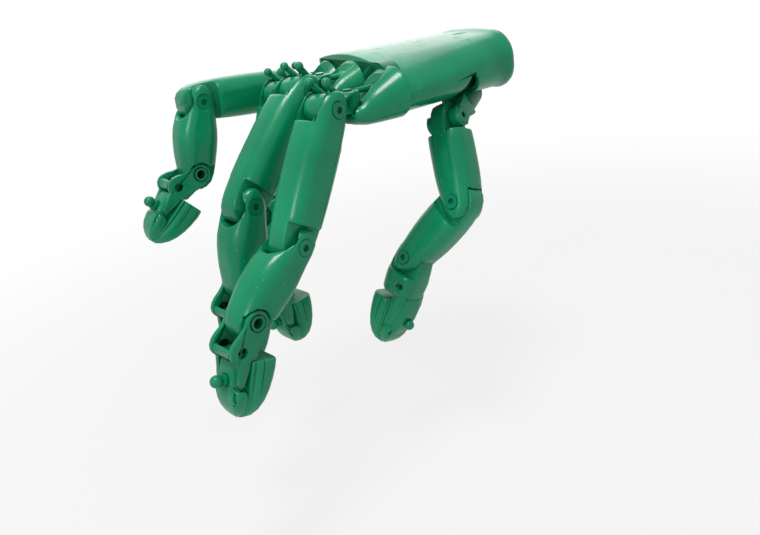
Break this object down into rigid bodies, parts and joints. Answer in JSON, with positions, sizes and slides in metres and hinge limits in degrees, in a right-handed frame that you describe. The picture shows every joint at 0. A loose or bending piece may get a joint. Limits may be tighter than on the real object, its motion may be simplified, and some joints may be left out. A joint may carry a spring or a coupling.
{
  "type": "robot hand",
  "caption": "Right robot hand with a smooth palm shell, four three-link fingers, an opposed thumb, round finger tip pads and a bolted wrist face, all in glossy green",
  "frame": {"origin": "centre of the wrist bolt pattern, on the wrist face", "axes": "+X points out of the wrist face toward the arm, the fingers point to -X, +Z is the back of the hand, -Y is the thumb side"},
  "size_m": [0.1451, 0.1045, 0.1143],
  "materials": {
    "link_green": "smooth moulded, glossy",
    "pad_green": "smooth moulded, glossy",
    "frame_green": "smooth moulded, glossy",
    "pin_green": "smooth, glossy"
  },
  "bodies": {
    "palm": {"palm_shell": "link_green", "palm_frame": "frame_green", "wrist_flange": "frame_green", "palm_screws": "pin_green", "swing_pins": "pin_green", "index_strut": "link_green", "long_strut": "link_green", "ring_strut": "link_green", "little_strut": "link_green", "thumb_socket": "link_green"},
    "index_knuckle": {"index_knuckle": "link_green"},
    "index_proximal": {"index_proximal": "link_green", "index_knuckle_pin": "pin_green"},
    "index_middle": {"index_middle": "link_green", "index_middle_pin": "pin_green"},
    "index_tip": {"index_bracket": "link_green", "index_core": "link_green", "index_pad": "pad_green", "index_bush": "pin_green", "index_knob": "link_green"},
    "long_knuckle": {"long_knuckle": "link_green"},
    "long_proximal": {"long_proximal": "link_green", "long_knuckle_pin": "pin_green"},
    "long_middle": {"long_middle": "link_green", "long_middle_pin": "pin_green"},
    "long_tip": {"long_bracket": "link_green", "long_core": "link_green", "long_pad": "pad_green", "long_bush": "pin_green", "long_knob": "link_green"},
    "ring_knuckle": {"ring_knuckle": "link_green"},
    "ring_proximal": {"ring_proximal": "link_green", "ring_knuckle_pin": "pin_green"},
    "ring_middle": {"ring_middle": "link_green", "ring_middle_pin": "pin_green"},
    "ring_tip": {"ring_bracket": "link_green", "ring_core": "link_green", "ring_pad": "pad_green", "ring_bush": "pin_green", "ring_knob": "link_green"},
    "little_knuckle": {"little_knuckle": "link_green"},
    "little_proximal": {"little_proximal": "link_green", "little_knuckle_pin": "pin_green"},
    "little_middle": {"little_middle": "link_green", "little_middle_pin": "pin_green"},
    "little_tip": {"little_bracket": "link_green", "little_core": "link_green", "little_pad": "pad_green", "little_bush": "pin_green", "little_knob": "link_green"},
    "thumb_base": {"thumb_base": "link_green", "thumb_root_pin": "pin_green"},
    "thumb_proximal": {"thumb_proximal": "link_green", "thumb_mid_pin": "pin_green"},
    "thumb_middle": {"thumb_middle": "link_green", "thumb_tip_pin": "pin_green"},
    "thumb_tip": {"thumb_barrel": "link_green", "thumb_core": "link_green", "thumb_pad": "pad_green", "thumb_knob": "link_green"}
  },
  "joints": [
    {"name": "index_swing", "type": "hinge", "parent": "palm", "child": "index_knuckle", "pos_m": [-0.073, -0.03142, -0.002], "axis": [0, 0, -1], "range_deg": [-12, 8]},
    {"name": "index_knuckle_flex", "type": "hinge", "parent": "index_knuckle", "child": "index_proximal", "pos_m": [-0.0834, -0.035, -0.002], "axis": [0.3256, -0.9455, 0], "range_deg": [-74, 31]},
    {"name": "index_middle_flex", "type": "hinge", "parent": "index_proximal", "child": "index_middle", "pos_m": [-0.10483, -0.04238, -0.03972], "axis": [0.3256, -0.9455, 0], "range_deg": [-3, 84]},
    {"name": "index_tip_flex", "type": "hinge", "parent": "index_middle", "child": "index_tip", "pos_m": [-0.12521, -0.0494, -0.05596], "axis": [0.3256, -0.9455, 0], "range_deg": [-67, 58]},
    {"name": "long_swing", "type": "hinge", "parent": "palm", "child": "long_knuckle", "pos_m": [-0.0724, -0.00762, 0.002], "axis": [0, 0, -1], "range_deg": [-6, 15]},
    {"name": "long_knuckle_flex", "type": "hinge", "parent": "long_knuckle", "child": "long_proximal", "pos_m": [-0.0828, -0.0112, 0.002], "axis": [0.3256, -0.9455, 0], "range_deg": [-60, 45]},
    {"name": "long_middle_flex", "type": "hinge", "parent": "long_proximal", "child": "long_middle", "pos_m": [-0.11222, -0.02133, -0.02911], "axis": [0.3256, -0.9455, 0], "range_deg": [-54, 58]},
    {"name": "long_tip_flex", "type": "hinge", "parent": "long_middle", "child": "long_tip", "pos_m": [-0.11925, -0.02375, -0.05507], "axis": [0.3256, -0.9455, 0], "range_deg": [-35, 90]},
    {"name": "ring_swing", "type": "hinge", "parent": "palm", "child": "ring_knuckle", "pos_m": [-0.0717, 0.01518, -0.001], "axis": [0, 0, -1], "range_deg": [-6, 12]},
    {"name": "ring_knuckle_flex", "type": "hinge", "parent": "ring_knuckle", "child": "ring_proximal", "pos_m": [-0.0821, 0.0116, -0.001], "axis": [0.3256, -0.9455, 0], "range_deg": [-84, 21]},
    {"name": "ring_middle_flex", "type": "hinge", "parent": "ring_proximal", "child": "ring_middle", "pos_m": [-0.09701, 0.00647, -0.04208], "axis": [0.3256, -0.9455, 0], "range_deg": [-40, 72]},
    {"name": "ring_tip_flex", "type": "hinge", "parent": "ring_middle", "child": "ring_tip", "pos_m": [-0.09968, 0.00555, -0.06893], "axis": [0.3256, -0.9455, 0], "range_deg": [-46, 79]},
    {"name": "little_swing", "type": "hinge", "parent": "palm", "child": "little_knuckle", "pos_m": [-0.05724, 0.03679, -0.002], "axis": [0, 0, -1], "range_deg": [0, 15]},
    {"name": "little_knuckle_flex", "type": "hinge", "parent": "little_knuckle", "child": "little_proximal", "pos_m": [-0.068, 0.0345, -0.002], "axis": [0.2079, -0.9781, 0], "range_deg": [-11, 94]},
    {"name": "little_middle_flex", "type": "hinge", "parent": "little_proximal", "child": "little_middle", "pos_m": [-0.11093, 0.02537, 0.00107], "axis": [0.2079, -0.9781, 0], "range_deg": [-103, 9]},
    {"name": "little_tip_flex", "type": "hinge", "parent": "little_middle", "child": "little_tip", "pos_m": [-0.11821, 0.02383, -0.02489], "axis": [0.2079, -0.9781, 0], "range_deg": [-2, 123]},
    {"name": "thumb_swivel", "type": "hinge", "parent": "palm", "child": "thumb_base", "pos_m": [-0.0324, -0.0252, -0.0176], "axis": [-0.7848, -0.5498, -0.2858], "range_deg": [-22, 33]},
    {"name": "thumb_root_flex", "type": "hinge", "parent": "thumb_base", "child": "thumb_proximal", "pos_m": [-0.0324, -0.0252, -0.0176], "axis": [0.4539, -0.8241, 0.339], "range_deg": [-42, 25]},
    {"name": "thumb_middle_flex", "type": "hinge", "parent": "thumb_proximal", "child": "thumb_middle", "pos_m": [-0.03802, -0.03939, -0.04458], "axis": [0.8724, 0.3336, -0.3572], "range_deg": [-60, 22]},
    {"name": "thumb_tip_flex", "type": "hinge", "parent": "thumb_middle", "child": "thumb_tip", "pos_m": [-0.05255, -0.02456, -0.06623], "axis": [0.8724, 0.3336, -0.3572], "range_deg": [-10, 90]}
  ]
}
